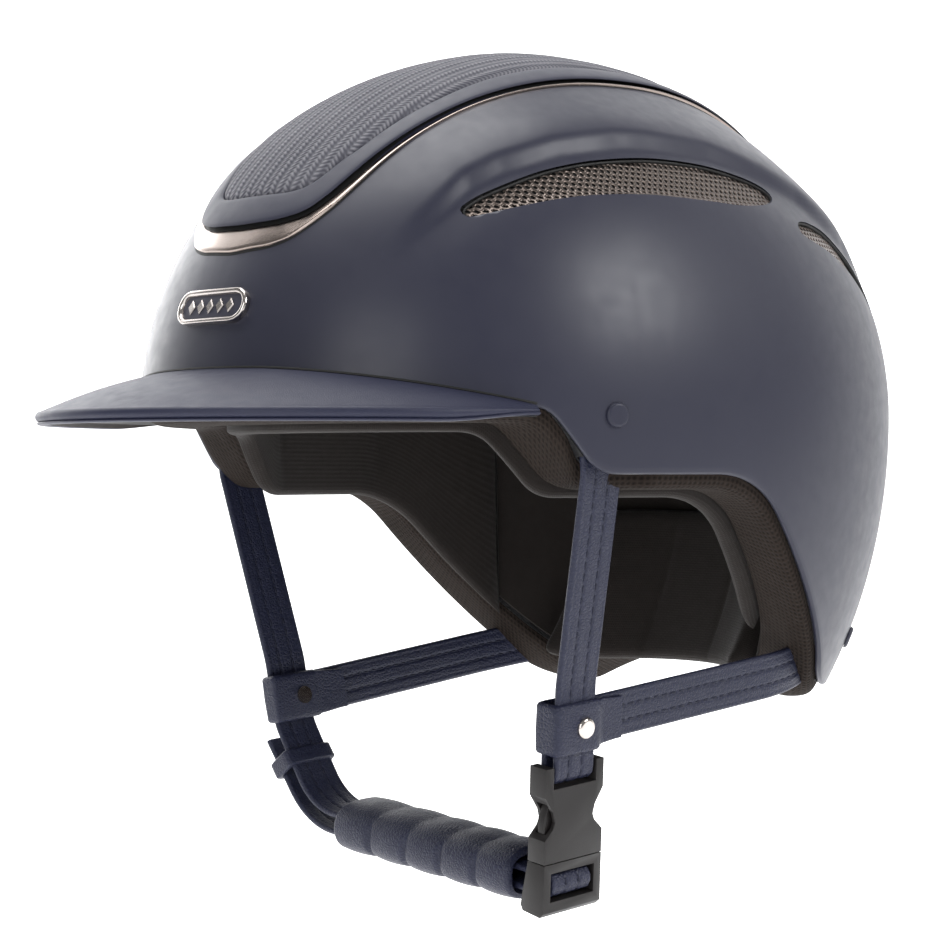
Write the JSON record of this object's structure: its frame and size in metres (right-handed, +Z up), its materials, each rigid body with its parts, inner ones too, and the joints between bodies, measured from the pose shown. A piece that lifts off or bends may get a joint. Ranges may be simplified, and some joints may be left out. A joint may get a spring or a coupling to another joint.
{
  "type": "riding helmet",
  "caption": "Riding helmet with short peak, perforated side vents, fabric crown panel, padded lining and a leather harness with a side-release buckle.",
  "frame": {"origin": "centre of the head opening, level with the shell's lower edge above the ears", "axes": "+Z up, the peak points towards -Y, the wearer's left is +X"},
  "size_m": [0.206, 0.315, 0.2755],
  "materials": {
    "shell_satin": "matte",
    "liner_foam": "matte",
    "edge_mesh": "matte",
    "pad_fabric": "matte",
    "peak_leather": "matte",
    "peak_board": "matte",
    "strap_leather": "satin",
    "frame_plastic": "matte",
    "knit_fabric": "matte",
    "bronze_trim": "satin",
    "grille_metal": "satin",
    "intake_dark": "matte",
    "badge_metal": "polished",
    "badge_inlay": "satin",
    "rivet_painted": "satin",
    "rivet_metal": "polished",
    "buckle_plastic": "satin",
    "hook_loop": "matte"
  },
  "bodies": {
    "helmet": {"outer_shell": "shell_satin", "impact_liner": "liner_foam", "rim_mesh_band": "edge_mesh", "liner_patches": "hook_loop", "headband_pad": "pad_fabric", "nape_pad": "pad_fabric", "crown_pad": "pad_fabric", "peak_cover": "peak_leather", "peak_core": "peak_board", "peak_lining": "pad_fabric", "peak_welt": "peak_leather", "top_panel_fabric": "knit_fabric", "top_panel_frame": "frame_plastic", "trim_surround": "bronze_trim", "intake_insert": "intake_dark", "grille_front_left": "grille_metal", "grille_front_right": "grille_metal", "grille_rear_left": "grille_metal", "grille_rear_right": "grille_metal", "badge_plate": "badge_inlay", "badge_rim": "badge_metal", "temple_rivet_left": "rivet_painted", "temple_rivet_right": "rivet_painted", "nape_rivet_left": "rivet_painted", "nape_rivet_right": "rivet_painted", "rivet_washers": "rivet_metal", "front_strap_left": "strap_leather", "front_strap_right": "strap_leather", "rear_strap_left": "strap_leather", "rear_strap_right": "strap_leather", "junction_sleeve_left": "strap_leather", "junction_sleeve_right": "strap_leather", "junction_rivets": "rivet_metal", "buckle_female": "buckle_plastic"},
    "chin_strap": {"chin_strap": "strap_leather", "buckle_male": "buckle_plastic"},
    "buckle_arm_front": {"buckle_arm_front": "buckle_plastic"},
    "buckle_arm_rear": {"buckle_arm_rear": "buckle_plastic"},
    "chin_pad": {"chin_pad": "strap_leather"},
    "strap_keeper": {"strap_keeper": "strap_leather"}
  },
  "joints": [
    {"name": "chin_strap_release", "type": "hinge", "parent": "helmet", "child": "chin_strap", "pos_m": [-0.068, -0.02263, -0.08912], "axis": [0, 0.9962, 0.0872], "range_deg": [0, 60]},
    {"name": "buckle_arm_front_squeeze", "type": "hinge", "parent": "chin_strap", "child": "buckle_arm_front", "pos_m": [0.06364, -0.02756, -0.1194], "axis": [-0.9914, -0.0114, 0.13], "range_deg": [0, 8], "stiffness_Nm_per_rad": 0.05},
    {"name": "buckle_arm_rear_squeeze", "type": "hinge", "parent": "chin_strap", "child": "buckle_arm_rear", "pos_m": [0.06364, -0.01252, -0.11809], "axis": [0.9914, 0.0114, -0.13], "range_deg": [0, 8], "stiffness_Nm_per_rad": 0.05},
    {"name": "chin_pad_slide", "type": "slide", "parent": "chin_strap", "child": "chin_pad", "axis": [-0.9966, -0.0071, 0.0816], "range_m": [-0.005, 0.005]},
    {"name": "strap_keeper_slide", "type": "slide", "parent": "chin_strap", "child": "strap_keeper", "axis": [-0.5648, -0.0719, 0.8221], "range_m": [-0.0035, 0.0035]}
  ]
}
